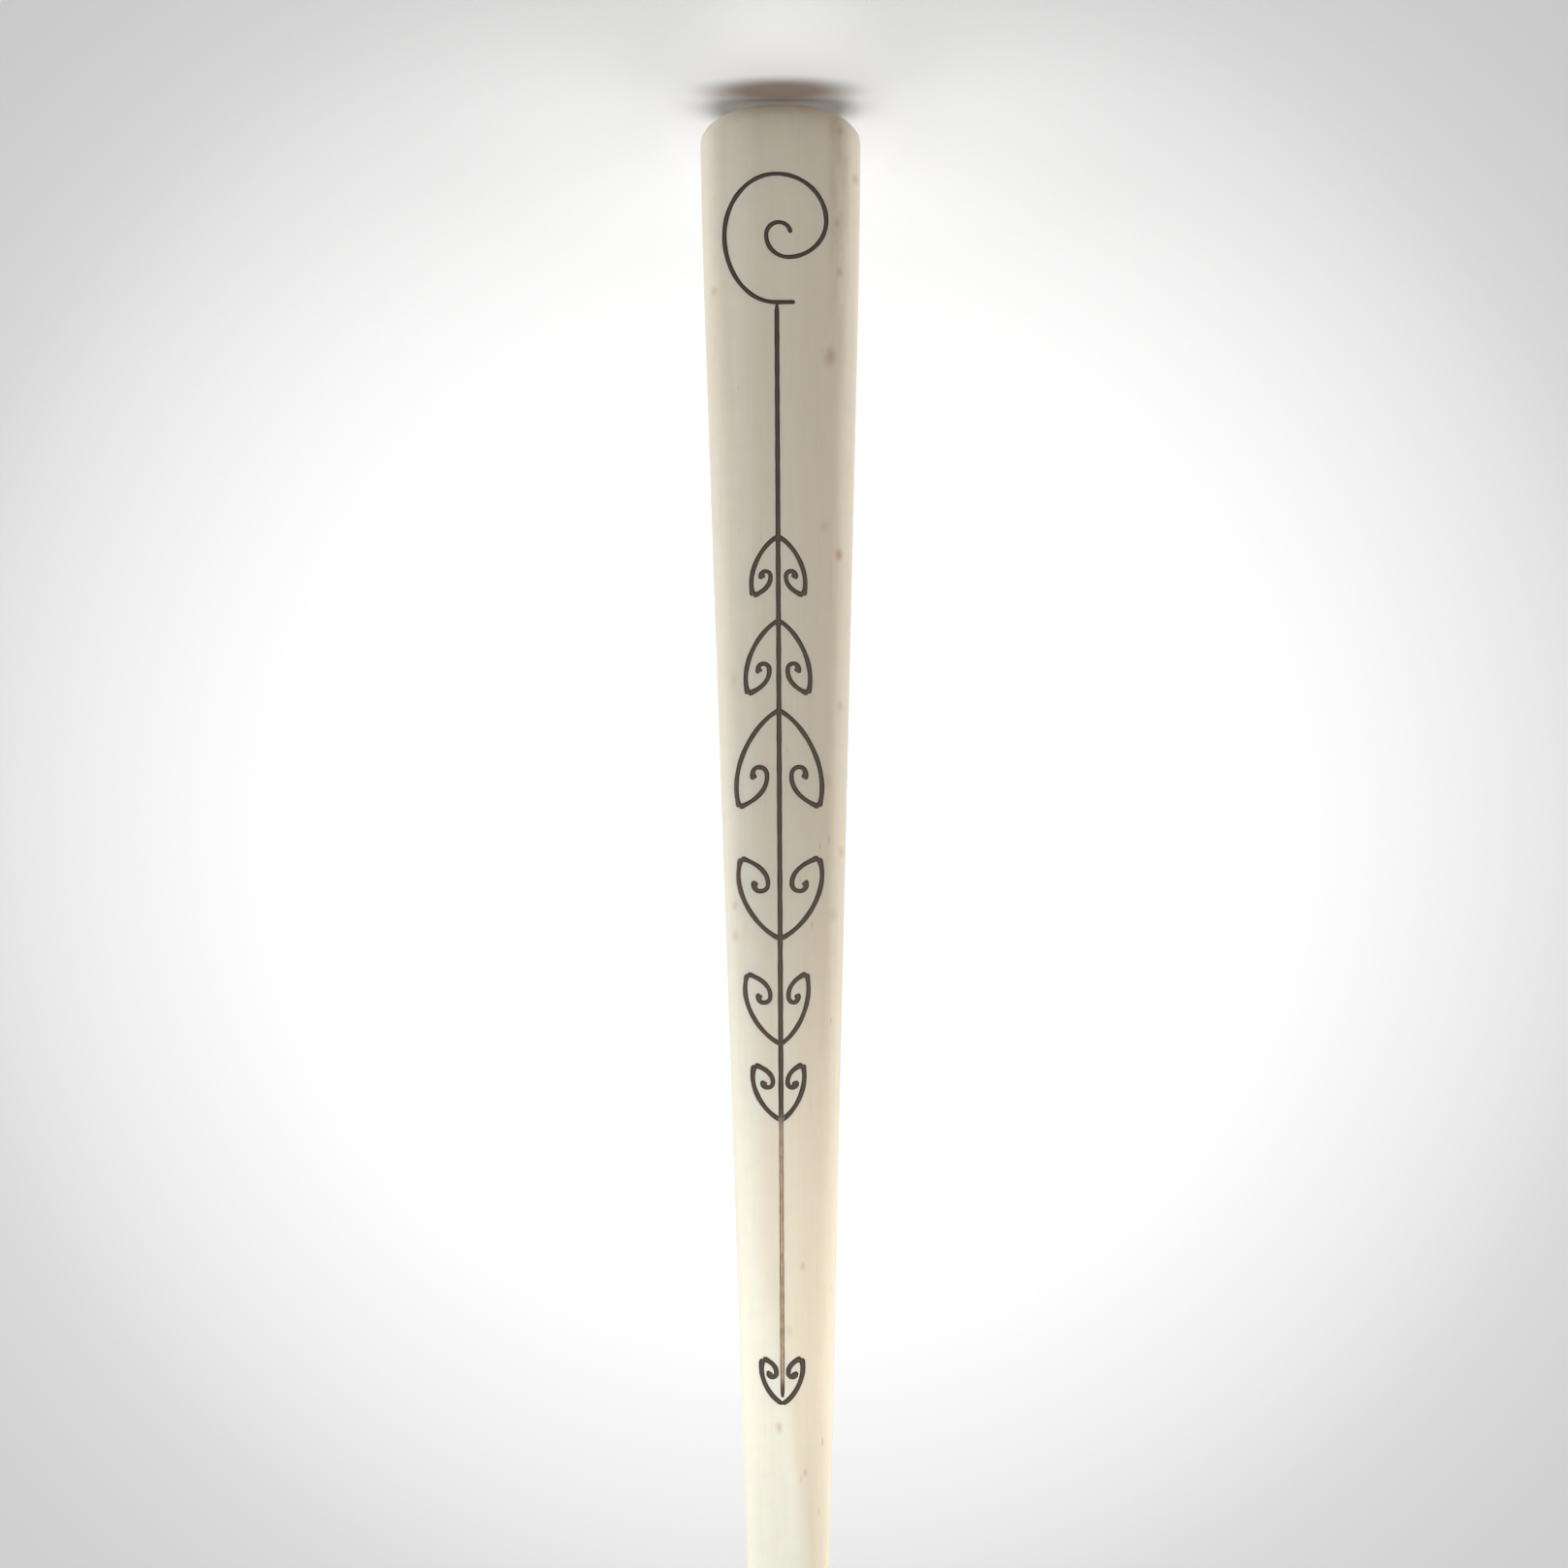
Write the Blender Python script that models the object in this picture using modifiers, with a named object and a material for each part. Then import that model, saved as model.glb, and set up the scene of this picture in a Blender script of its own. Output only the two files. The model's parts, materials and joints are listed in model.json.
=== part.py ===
"""Bone folder: a long tapered blade of carved bone with a pigment-filled engraved ornament.

Frame: the folder stands upright on its head end. +Z runs from the wide head (z = 0) to the
narrow tip, +X runs across the blade and the engraved face looks towards -Y.
Every engraved stroke is one graver cut in the blade with its own body of dried pigment in it.
"""
import math

import bmesh
import bpy
from mathutils import Vector
from mathutils.geometry import interpolate_bezier

MM = 0.001

# Blade
BLADE_LENGTH = 200.0 * MM
HEAD_HALF_WIDTH = 8.95 * MM
HEAD_ROUND_HEIGHT = 4.8 * MM
HEAD_LAND_CUT = 0.25 * MM
HEAD_HALF_THICKNESS = 3.5 * MM
TIP_HALF_THICKNESS = 1.6 * MM
TIP_ROUND_HALF_WIDTH = 2.9 * MM
TIP_ROUND_HEIGHT = 3.2 * MM
EDGE_ROUNDING = 2.4 * MM
EDGE_ROUNDING_STEPS = 5
HEAD_ARC_STEPS = 13
TIP_ARC_STEPS = 9
# height above the head end, half width
BLADE_SIDE_STATIONS = (
    (14.0 * MM, 8.78 * MM),
    (26.0 * MM, 8.47 * MM),
    (54.0 * MM, 7.62 * MM),
    (82.5 * MM, 6.74 * MM),
    (126.0 * MM, 5.42 * MM),
    (160.0 * MM, 4.48 * MM),
    (180.0 * MM, 3.88 * MM),
    (190.0 * MM, 3.46 * MM),
)

# Engraving
STROKE_WIDTH = 0.46 * MM
SMALL_STROKE_WIDTH = 0.40 * MM
END_STROKE_WIDTH = 0.38 * MM
STEM_WIDTH = 0.50 * MM
PIGMENT_TOP = 0.02 * MM
PIGMENT_BOTTOM = 0.36 * MM
GROOVE_DEPTH = 0.40 * MM
STEM_GROOVE_DEPTH = 0.42 * MM
LEFT_CUT_EXTRA = 0.01 * MM
CUTTER_RISE = 0.30 * MM
SIDE_CLEARANCE = 0.03 * MM
PIECE_CLEARANCE = 0.04 * MM

STEM_X = 0.50 * MM
STEM_START_Z = 25.26 * MM
STEM_END_Z = 148.30 * MM

# where the spiral passes its outermost and innermost points, a quarter turn apart: x, z
SPIRAL_QUARTERS = (
    (-1.04 * MM, 16.56 * MM),
    (0.24 * MM, 15.26 * MM),
    (1.64 * MM, 16.79 * MM),
    (-0.81 * MM, 19.49 * MM),
    (-5.03 * MM, 15.15 * MM),
    (0.53 * MM, 9.37 * MM),
    (6.26 * MM, 16.91 * MM),
    (0.61 * MM, 24.92 * MM),
)
SPIRAL_TAIL_X = -1.53 * MM
SPIRAL_STEPS_PER_QUARTER = 9
QUARTER_ARC_HANDLE = 0.5523

# each pair of leaves: apex z, tip z, reach towards +X, reach towards -X, stroke width
LEAF_PAIRS = (
    (52.70 * MM, 59.60 * MM, 2.95 * MM, 2.95 * MM, STROKE_WIDTH),
    (62.50 * MM, 70.95 * MM, 3.60 * MM, 3.42 * MM, STROKE_WIDTH),
    (72.85 * MM, 83.90 * MM, 4.66 * MM, 4.62 * MM, STROKE_WIDTH),
    (98.80 * MM, 89.70 * MM, 4.47 * MM, 4.55 * MM, STROKE_WIDTH),
    (110.50 * MM, 102.70 * MM, 3.78 * MM, 3.01 * MM, STROKE_WIDTH),
    (118.90 * MM, 112.80 * MM, 3.00 * MM, 2.50 * MM, SMALL_STROKE_WIDTH),
    (149.60 * MM, 144.75 * MM, 2.20 * MM, 2.14 * MM, END_STROKE_WIDTH),
)
END_PAIR = 7
# one leaf as cubic curves, in fractions of its reach and of its height from the apex
LEAF_OUTER = ((0.00, 0.00), (0.62, 0.14), (1.20, 0.64), (0.91, 0.98))
LEAF_INNER = ((0.91, 0.98), (0.62, 0.95), (0.30, 0.86), (0.284, 0.70))
LEAF_CURL = ((0.284, 0.70), (0.27, 0.62), (0.36, 0.59), (0.47, 0.59))
LEAF_HOOK = ((0.47, 0.59), (0.60, 0.59), (0.66, 0.66), (0.57, 0.71))
LEAF_OUTER_STEPS = 14
LEAF_INNER_STEPS = 8
LEAF_CURL_STEPS = 5
LEAF_HOOK_STEPS = 5

COLLECTION_NAME = "bone_folder"
CUTTER_COLLECTION_NAME = "graver_cuts"


def clear_scene():
    """Remove every object that is already in the scene."""
    for old_object in list(bpy.data.objects):
        bpy.data.objects.remove(old_object, do_unlink=True)


def new_collection(name):
    """Make a collection in the scene."""
    collection = bpy.data.collections.new(name)
    bpy.context.scene.collection.children.link(collection)
    return collection


def new_material(name, colour, roughness):
    """Make a plain non-metal material."""
    material = bpy.data.materials.new(name)
    material.use_nodes = True
    shader = material.node_tree.nodes["Principled BSDF"]
    shader.inputs["Base Color"].default_value = (*colour, 1.0)
    shader.inputs["Roughness"].default_value = roughness
    shader.inputs["Metallic"].default_value = 0.0
    return material


def half_thickness(z):
    """Half the blade's thickness at a height."""
    return HEAD_HALF_THICKNESS + (TIP_HALF_THICKNESS - HEAD_HALF_THICKNESS) * z / BLADE_LENGTH


def on_face(x, z, depth):
    """A point at a depth below the engraved face."""
    return Vector((x, depth - half_thickness(z), z))


def blade_outline():
    """Outline of the blade seen from the front, as x and z, all the way round."""
    side = []
    centre_z = HEAD_ROUND_HEIGHT - HEAD_LAND_CUT
    first_angle = math.asin(centre_z / HEAD_ROUND_HEIGHT)
    for step in range(HEAD_ARC_STEPS + 1):
        angle = -first_angle * (1.0 - step / HEAD_ARC_STEPS)
        x = HEAD_HALF_WIDTH * math.cos(angle)
        side.append((x, centre_z + HEAD_ROUND_HEIGHT * math.sin(angle)))
    for z, half_width in BLADE_SIDE_STATIONS:
        side.append((half_width, z))
    tip_centre_z = BLADE_LENGTH - TIP_ROUND_HEIGHT
    for step in range(TIP_ARC_STEPS):
        angle = 0.5 * math.pi * step / TIP_ARC_STEPS
        x = TIP_ROUND_HALF_WIDTH * math.cos(angle)
        side.append((x, tip_centre_z + TIP_ROUND_HEIGHT * math.sin(angle)))
    other_side = [(-x, z) for x, z in reversed(side)]
    return side + [(0.0, BLADE_LENGTH)] + other_side


def build_blade(material, collection, cutters):
    """The bone body: outline extruded to the head's thickness, rounded, thinned to the tip."""
    mesh = bpy.data.meshes.new("blade_block")
    shape = bmesh.new()
    corners = [shape.verts.new((x, -HEAD_HALF_THICKNESS, z)) for x, z in blade_outline()]
    face = shape.faces.new(corners)
    extruded = bmesh.ops.extrude_face_region(shape, geom=[face])
    back = [item for item in extruded["geom"] if isinstance(item, bmesh.types.BMVert)]
    bmesh.ops.translate(shape, verts=back, vec=(0.0, 2.0 * HEAD_HALF_THICKNESS, 0.0))
    bmesh.ops.recalc_face_normals(shape, faces=shape.faces)
    shape.to_mesh(mesh)
    shape.free()
    block = bpy.data.objects.new("blade_block", mesh)
    collection.objects.link(block)
    rounding = block.modifiers.new("edge_rounding", "BEVEL")
    rounding.width = EDGE_ROUNDING
    rounding.segments = EDGE_ROUNDING_STEPS
    rounding.limit_method = "ANGLE"
    rounding.angle_limit = math.radians(60.0)
    rounding.use_clamp_overlap = False
    depsgraph = bpy.context.evaluated_depsgraph_get()
    rounded = bpy.data.meshes.new_from_object(block.evaluated_get(depsgraph))
    bpy.data.objects.remove(block, do_unlink=True)
    for vertex in rounded.vertices:
        vertex.co.y *= half_thickness(vertex.co.z) / HEAD_HALF_THICKNESS
    rounded.name = "blade"
    rounded.shade_smooth()
    rounded.materials.clear()
    rounded.materials.append(material)
    blade = bpy.data.objects.new("blade", rounded)
    collection.objects.link(blade)
    engraving = blade.modifiers.new("engraving", "BOOLEAN")
    engraving.operation = "DIFFERENCE"
    engraving.operand_type = "COLLECTION"
    engraving.collection = cutters
    engraving.solver = "EXACT"
    return blade


def stroke_outline(centre_line, half_width, end_extension):
    """Both edges of a stroke of even width with mitred corners, as x and z."""
    line = [Vector(point) for point in centre_line]
    line[0] = line[0] + (line[0] - line[1]).normalized() * end_extension
    line[-1] = line[-1] + (line[-1] - line[-2]).normalized() * end_extension
    one_edge = []
    other_edge = []
    for index, point in enumerate(line):
        before = line[max(index - 1, 0)]
        after = line[min(index + 1, len(line) - 1)]
        arriving = (point - before).normalized() if index > 0 else (after - point).normalized()
        leaving = (after - point).normalized() if index < len(line) - 1 else arriving
        arriving_normal = Vector((-arriving.y, arriving.x))
        leaving_normal = Vector((-leaving.y, leaving.x))
        mitre = (arriving_normal + leaving_normal).normalized()
        offset = mitre * half_width / mitre.dot(arriving_normal)
        one_edge.append(point + offset)
        other_edge.append(point - offset)
    return one_edge + other_edge[::-1]


def build_stroke(name, outline, top, bottom, material, collection, keep_beyond=None):
    """A stroke's outline sunk into the engraved face between two depths.

    keep_beyond, as x and a side, trims the stroke square where it meets its neighbour.
    """
    shape = bmesh.new()
    face = shape.faces.new([shape.verts.new((point.x, 0.0, point.y)) for point in outline])
    if keep_beyond is not None:
        limit_x, side = keep_beyond
        bmesh.ops.bisect_plane(
            shape,
            geom=list(shape.verts) + list(shape.edges) + [face],
            plane_co=(limit_x, 0.0, 0.0),
            plane_no=(side, 0.0, 0.0),
            clear_inner=True,
        )
    extruded = bmesh.ops.extrude_face_region(shape, geom=list(shape.faces))
    floor = [item for item in extruded["geom"] if isinstance(item, bmesh.types.BMVert)]
    floor_set = set(floor)
    for vertex in shape.verts:
        depth = bottom if vertex in floor_set else top
        vertex.co = on_face(vertex.co.x, vertex.co.z, depth)
    bmesh.ops.recalc_face_normals(shape, faces=shape.faces)
    mesh = bpy.data.meshes.new(name)
    shape.to_mesh(mesh)
    shape.free()
    if material is not None:
        mesh.materials.append(material)
    stroke = bpy.data.objects.new(name, mesh)
    collection.objects.link(stroke)
    return stroke


def quarter_arc(start, end, start_is_side, steps):
    """A quarter of an ellipse from one outermost point of the spiral to the next."""
    start = Vector(start)
    end = Vector(end)
    across = Vector((end.x - start.x, 0.0))
    along = Vector((0.0, end.y - start.y))
    if start_is_side:
        first_handle = start + along * QUARTER_ARC_HANDLE
        second_handle = end - across * QUARTER_ARC_HANDLE
    else:
        first_handle = start + across * QUARTER_ARC_HANDLE
        second_handle = end - along * QUARTER_ARC_HANDLE
    return interpolate_bezier(start, first_handle, second_handle, end, steps + 1)


def spiral_line():
    """Centre line of the spiral and its short straight tail."""
    line = [Vector(SPIRAL_QUARTERS[0])]
    pairs = zip(SPIRAL_QUARTERS[:-1], SPIRAL_QUARTERS[1:])
    for index, (start, end) in enumerate(pairs):
        line += quarter_arc(start, end, index % 2 == 0, SPIRAL_STEPS_PER_QUARTER)[1:]
    line.append(Vector((SPIRAL_TAIL_X, SPIRAL_QUARTERS[-1][1])))
    return line


def leaf_line(apex_z, tip_z, reach, with_hook):
    """Centre line of one leaf: outer edge to the sharp tip, then inner edge and curl."""
    height = tip_z - apex_z
    curves = [(LEAF_OUTER, LEAF_OUTER_STEPS), (LEAF_INNER, LEAF_INNER_STEPS)]
    curves.append((LEAF_CURL, LEAF_CURL_STEPS))
    if with_hook:
        curves.append((LEAF_HOOK, LEAF_HOOK_STEPS))
    line = [Vector((STEM_X, apex_z))]
    for handles, steps in curves:
        points = [Vector((STEM_X + a * reach, apex_z + b * height)) for a, b in handles]
        line += interpolate_bezier(*points, steps + 1)[1:]
    return line


def build_engraving(material, collection, cutters):
    """Every pigment stroke with the graver cut that holds it."""
    clearance = SIDE_CLEARANCE

    spiral = spiral_line()
    outline = stroke_outline(spiral, 0.5 * STROKE_WIDTH, 0.0)
    build_stroke("spiral_fill", outline, PIGMENT_TOP, PIGMENT_BOTTOM, material, collection)
    outline = stroke_outline(spiral, 0.5 * STROKE_WIDTH + clearance, clearance)
    build_stroke("cut_spiral", outline, -CUTTER_RISE, GROOVE_DEPTH, None, cutters)

    stem = [Vector((STEM_X, STEM_START_Z)), Vector((STEM_X, STEM_END_Z))]
    outline = stroke_outline(stem, 0.5 * STEM_WIDTH, 0.0)
    build_stroke("stem_fill", outline, PIGMENT_TOP, PIGMENT_BOTTOM, material, collection)
    outline = stroke_outline(stem, 0.5 * STEM_WIDTH + clearance, 2.0 * clearance)
    build_stroke("cut_stem", outline, -CUTTER_RISE - clearance, STEM_GROOVE_DEPTH, None, cutters)

    for number, (apex_z, tip_z, right, left, width) in enumerate(LEAF_PAIRS, start=1):
        at_end = number == END_PAIR
        start_gap = 0.5 * PIECE_CLEARANCE if at_end else 0.5 * STEM_WIDTH + PIECE_CLEARANCE
        sides = (("right", 1.0, right, 0.0), ("left", -1.0, left, LEFT_CUT_EXTRA))
        for side_name, side, reach, extra in sides:
            line = leaf_line(apex_z, tip_z, side * reach, not at_end)
            label = f"leaf_{number}_{side_name}"
            outline = stroke_outline(line, 0.5 * width, 0.5 * width)
            build_stroke(
                label + "_fill", outline, PIGMENT_TOP, PIGMENT_BOTTOM, material, collection,
                (STEM_X + side * start_gap, side),
            )
            outline = stroke_outline(line, 0.5 * width + clearance, 0.5 * width + clearance)
            build_stroke(
                "cut_" + label, outline, -CUTTER_RISE - extra, GROOVE_DEPTH + extra, None, cutters,
                (STEM_X - side * clearance, side),
            )
    for cutter in cutters.objects:
        cutter.hide_render = True
        cutter.display_type = "WIRE"


def main():
    clear_scene()
    pieces = new_collection(COLLECTION_NAME)
    cutters = new_collection(CUTTER_COLLECTION_NAME)
    bone = new_material("bone", (0.78, 0.72, 0.60), 0.42)
    pigment = new_material("pigment", (0.060, 0.042, 0.036), 0.75)
    build_engraving(pigment, pieces, cutters)
    build_blade(bone, pieces, cutters)


main()
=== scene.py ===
"""Bone folder: finished bone blade, pigment-filled engraving, soft studio stage."""
import json
import math
import random

import bmesh
import bpy
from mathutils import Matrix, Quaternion, Vector
from mathutils.geometry import interpolate_bezier

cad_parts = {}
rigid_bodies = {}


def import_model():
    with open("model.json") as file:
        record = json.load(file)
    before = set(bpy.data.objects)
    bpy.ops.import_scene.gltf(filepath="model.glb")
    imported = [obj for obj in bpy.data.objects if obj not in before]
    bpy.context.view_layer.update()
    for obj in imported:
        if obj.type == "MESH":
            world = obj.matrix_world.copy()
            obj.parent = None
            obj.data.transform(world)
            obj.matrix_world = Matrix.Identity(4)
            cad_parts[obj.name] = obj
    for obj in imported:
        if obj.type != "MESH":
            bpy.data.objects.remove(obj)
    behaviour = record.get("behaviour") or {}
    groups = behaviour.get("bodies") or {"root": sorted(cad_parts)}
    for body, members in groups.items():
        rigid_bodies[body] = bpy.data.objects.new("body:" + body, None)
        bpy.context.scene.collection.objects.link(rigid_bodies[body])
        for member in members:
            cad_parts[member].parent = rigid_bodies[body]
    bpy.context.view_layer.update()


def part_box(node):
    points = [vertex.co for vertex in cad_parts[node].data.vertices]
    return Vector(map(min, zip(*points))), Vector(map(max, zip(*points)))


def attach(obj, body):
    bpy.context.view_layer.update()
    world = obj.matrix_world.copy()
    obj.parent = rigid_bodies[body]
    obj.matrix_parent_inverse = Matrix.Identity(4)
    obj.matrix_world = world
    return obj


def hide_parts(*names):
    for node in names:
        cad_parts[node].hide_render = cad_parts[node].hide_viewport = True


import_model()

bl_info = {
    "name": "Bone Folder Workshop",
    "version": (1, 0, 0),
    "blender": (4, 5, 0),
    "location": "3D View > Sidebar > Bone Folder",
    "description": "Carves a bone folder, engraves its ornament and lays out a studio stage",
    "category": "Object",
}

BLADE_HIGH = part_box("blade")[1]
MM = 0.001

# Blade outline, head end down. The rounded ends are half ellipses.
HEAD_ROUND_HEIGHT = 4.8 * MM
HEAD_LAND_CUT = 0.08 * MM
TIP_ROUND_HALF_WIDTH = 2.9 * MM
TIP_ROUND_HEIGHT = 3.2 * MM
TIP_END_ANGLE = math.radians(82.0)
HEAD_STATIONS = 22
TIP_STATIONS = 14
SIDE_STEP = 3.0 * MM
# height above the head end, half width
SIDE_WIDTHS = (
    (4.55 * MM, 8.95 * MM),
    (14.0 * MM, 8.78 * MM),
    (26.0 * MM, 8.47 * MM),
    (54.0 * MM, 7.62 * MM),
    (82.5 * MM, 6.74 * MM),
    (126.0 * MM, 5.42 * MM),
    (160.0 * MM, 4.48 * MM),
    (180.0 * MM, 3.88 * MM),
    (190.0 * MM, 3.46 * MM),
    (196.8 * MM, 2.90 * MM),
)
# Extra mesh lines along and across the blade, so that the engraving is cut cleanly
LONG_COLUMNS = 6
COLUMN_STEP = 1.1 * MM
ROW_STEP = 2.9 * MM
ROW_OFFSET = 0.37
PLACE_TOLERANCE = 0.005 * MM
WELD_DISTANCE = 0.02 * MM
EDGE_SEGMENTS = 9
SHARP_EDGE = math.radians(60.0)
SMOOTH_EDGE = math.radians(35.0)

# Engraving, in the plane of the engraved face: x across, z along the blade.
STEM_X = 0.50 * MM
STEM_START_Z = 25.10 * MM
STEM_END_Z = 148.90 * MM
STEM_POINT_STEP = 0.8 * MM
POINT_STEP = 0.2 * MM
SPIRAL_QUARTERS = (
    (-1.04 * MM, 16.56 * MM),
    (0.24 * MM, 15.26 * MM),
    (1.64 * MM, 16.79 * MM),
    (-0.81 * MM, 19.49 * MM),
    (-5.03 * MM, 15.15 * MM),
    (0.53 * MM, 9.37 * MM),
    (6.26 * MM, 16.91 * MM),
    (0.61 * MM, 24.92 * MM),
)
SPIRAL_TAIL_X = -1.53 * MM
QUARTER_ARC_HANDLE = 0.5523
# each pair of leaves: apex z, tip z, reach towards +X, reach towards -X, share of stroke width
LEAF_PAIRS = (
    (52.70 * MM, 59.60 * MM, 2.95 * MM, 2.95 * MM, 1.00),
    (62.50 * MM, 70.95 * MM, 3.60 * MM, 3.42 * MM, 1.00),
    (72.85 * MM, 83.90 * MM, 4.66 * MM, 4.62 * MM, 1.00),
    (98.80 * MM, 89.70 * MM, 4.47 * MM, 4.55 * MM, 1.00),
    (110.50 * MM, 102.70 * MM, 3.78 * MM, 3.01 * MM, 0.95),
    (118.90 * MM, 112.80 * MM, 3.00 * MM, 2.50 * MM, 1.00),
    (149.60 * MM, 144.75 * MM, 2.20 * MM, 2.14 * MM, 1.00),
)
LEAF_OUTER = ((0.00, 0.00), (0.62, 0.14), (1.20, 0.64), (0.92, 1.00))
LEAF_INNER = ((0.92, 1.00), (0.66, 0.96), (0.30, 0.86), (0.284, 0.70))
LEAF_CURL = ((0.284, 0.70), (0.27, 0.62), (0.36, 0.59), (0.47, 0.59))
LEAF_HOOK = ((0.47, 0.59), (0.60, 0.59), (0.66, 0.66), (0.57, 0.71))
CURVE_STEPS = 24
STROKE_SIDES = 3
STROKE_WELD_DISTANCE = 0.0005 * MM
# the stem is a little finer beyond this pair of leaves
FINE_STEM_PAIR = 5
FINE_STEM_SHARE = 0.86
# swelling where a stroke starts and ends, and how far it reaches
SWELL_LENGTH = 0.55 * MM
SPIRAL_SWELLS = (0.10, 0.12)
STEM_SWELLS = (0.0, 0.0)
OUTER_LEAF_SWELLS = (0.10, 0.38)
INNER_LEAF_SWELLS = (0.38, 0.75)
# the last two rings of a stroke narrow to a round end
END_RING_SHARE = 0.55
NEXT_RING_SHARE = 0.90
SPIRAL_SEED = 11
STEM_SEED = 23

# Narrowing of the blade's half width along its length, and the place of the reddish vein
BLADE_NARROWING = 0.0279
VEIN_PLACE = 6.3 * MM
VEIN_HALF_WIDTHS = (0.2 * MM, 1.7 * MM)
VEIN_HEIGHTS = (44.0 * MM, 6.0 * MM)
# Grain of the bone: repeats per metre across, through and along the blade
BAND_GRAIN = (420.0, 420.0, 22.0)
FIBRE_GRAIN = (3600.0, 3600.0, 90.0)
MOTTLE_GRAIN = 520.0
VEIN_GRAIN = (560.0, 300.0, 120.0)
PORE_GRAIN = (900.0, 900.0, 190.0)
PORE_PATCHES = (150.0, 150.0, 60.0)
# How strongly each tint, and the painted light on the other long edge, covers the bone
ROSY_SHARE = 0.6
PAINTED_LIGHT_OTHER_EDGE_SHARE = 0.6
BAND_SHARE = 0.22
MOTTLE_SHARE = 0.08
FIBRE_SHARE = 0.07
PORE_SHARE = 0.35
# Heights between which the colours of the bone change, the painted light on the long edge spreads and the
# painted shade at both ends sets in
TIP_TONE_HEIGHTS = (20.0 * MM, 170.0 * MM)
PAINTED_LIGHT_SPREAD_HEIGHTS = (132.0 * MM, 172.0 * MM)
HEAD_PAINTED_SHADE_HEIGHTS = (22.0 * MM, 2.0 * MM)
TIP_PAINTED_SHADE_HEIGHTS = (146.0 * MM, 168.0 * MM)
# Heights between which the pigment of the stem wears thin, and its distance from the stem line
WORN_HEIGHTS = (117.5 * MM, 120.5 * MM)
WORN_END_HEIGHTS = (148.2 * MM, 146.4 * MM)
WORN_HALF_WIDTHS = (0.42 * MM, 0.32 * MM)
MIDDLE_START_HEIGHTS = (24.0 * MM, 70.0 * MM)
MIDDLE_END_HEIGHTS = (122.0 * MM, 100.0 * MM)
PATCH_SHARE = 0.3
# Light tone of the patches on the pigment and on the stained walls of the cuts
PIGMENT_LIFT = (0.05, 0.04, 0.03)
STAIN_LIFT = (0.08, 0.06, 0.04)
# Share of a height that counts in the distance from a mark, so that marks are long
MARK_FLATTENING = 0.62
# Small natural marks in the bone: x, z, radius, strength
BONE_MARKS = (
    (-5.40 * MM, 31.4 * MM, 0.75 * MM, 0.62),
    (-6.10 * MM, 54.9 * MM, 0.48 * MM, 0.70),
    (-6.45 * MM, 21.4 * MM, 0.40 * MM, 0.40),
    (7.40 * MM, 23.4 * MM, 0.35 * MM, 0.42),
    (-8.35 * MM, 9.7 * MM, 0.40 * MM, 0.45),
    (-6.20 * MM, 15.4 * MM, 0.36 * MM, 0.42),
    (-6.80 * MM, 4.2 * MM, 0.45 * MM, 0.40),
    (-4.65 * MM, 51.6 * MM, 0.60 * MM, 0.18),
    (-4.80 * MM, 81.0 * MM, 0.50 * MM, 0.18),
    (-6.10 * MM, 72.2 * MM, 0.42 * MM, 0.32),
    (5.40 * MM, 69.3 * MM, 0.50 * MM, 0.20),
    (-6.10 * MM, 88.8 * MM, 0.42 * MM, 0.30),
    (-5.20 * MM, 96.1 * MM, 0.50 * MM, 0.24),
    (5.30 * MM, 94.9 * MM, 0.34 * MM, 0.28),
    (5.25 * MM, 98.3 * MM, 0.42 * MM, 0.26),
    (-1.70 * MM, 134.8 * MM, 0.28 * MM, 0.34),
    (-0.20 * MM, 141.8 * MM, 0.36 * MM, 0.22),
    (0.85 * MM, 152.1 * MM, 0.40 * MM, 0.46),
    (-1.80 * MM, 156.9 * MM, 0.28 * MM, 0.50),
)
FOLDER_MATERIALS = ("polished_bone", "rubbed_pigment", "stained_cut")

FLOOR_RADIUS = 1.4
FLOOR_FADE = (0.95, 1.35)
SENSOR_WIDTH = 36.0
CLIP_START = 0.01
CLIP_END = 20.0
WHITE = (1.0, 1.0, 1.0)
WARM_WHITE = (1.0, 0.985, 0.94)
# Overhead panel that lights floor and folder: name, place, aim, width, height, watts, colour
TOP_PANEL = ("top_panel", (0.0, 0.68, 2.60), (0.0, 0.68, 0.0), 3.20, 3.20, 125.0, WHITE)
# Panels that light only the folder
FOLDER_PANELS = (
    ("front_panel", (0.05, -0.45, 0.10), (0.0, 0.0, 0.065), 0.10, 0.10, 0.42, WARM_WHITE),
    ("bright_side_panel", (0.40, 0.02, 0.26), (0.0, 0.0, 0.18), 0.12, 0.16, 0.98, WARM_WHITE),
    ("soft_side_panel", (-0.45, 0.05, 0.24), (0.0, 0.0, 0.16), 0.15, 0.15, 1.16, WARM_WHITE),
    ("back_panel", (0.0, 0.80, 0.16), (0.0, 0.0, 0.10), 0.40, 0.20, 1.60, WARM_WHITE),
)
# Spots that light only the folder: name, place, aim, cone, watts
FOLDER_SPOTS = (
    ("bright_tip_spot", (0.30, -0.40, 0.24), (0.0, 0.0, 0.156), 0.25, 2.40),
    ("soft_tip_spot", (-0.30, -0.40, 0.24), (0.0, 0.0, 0.156), 0.25, 4.15),
    ("middle_spot", (0.0, -0.60, 0.12), (0.0, 0.0, 0.075), 0.20, 1.20),
)
# Painted shade on the paper, greyer away from the stage's middle line of sight: spread about that line,
# tone
PAINTED_SHADE_TONES = (
    (0.050, 0.87),
    (0.067, 0.86),
    (0.090, 0.79),
    (0.106, 0.72),
    (0.120, 0.665),
    (0.135, 0.575),
    (0.160, 0.51),
    (0.180, 0.49),
)
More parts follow.
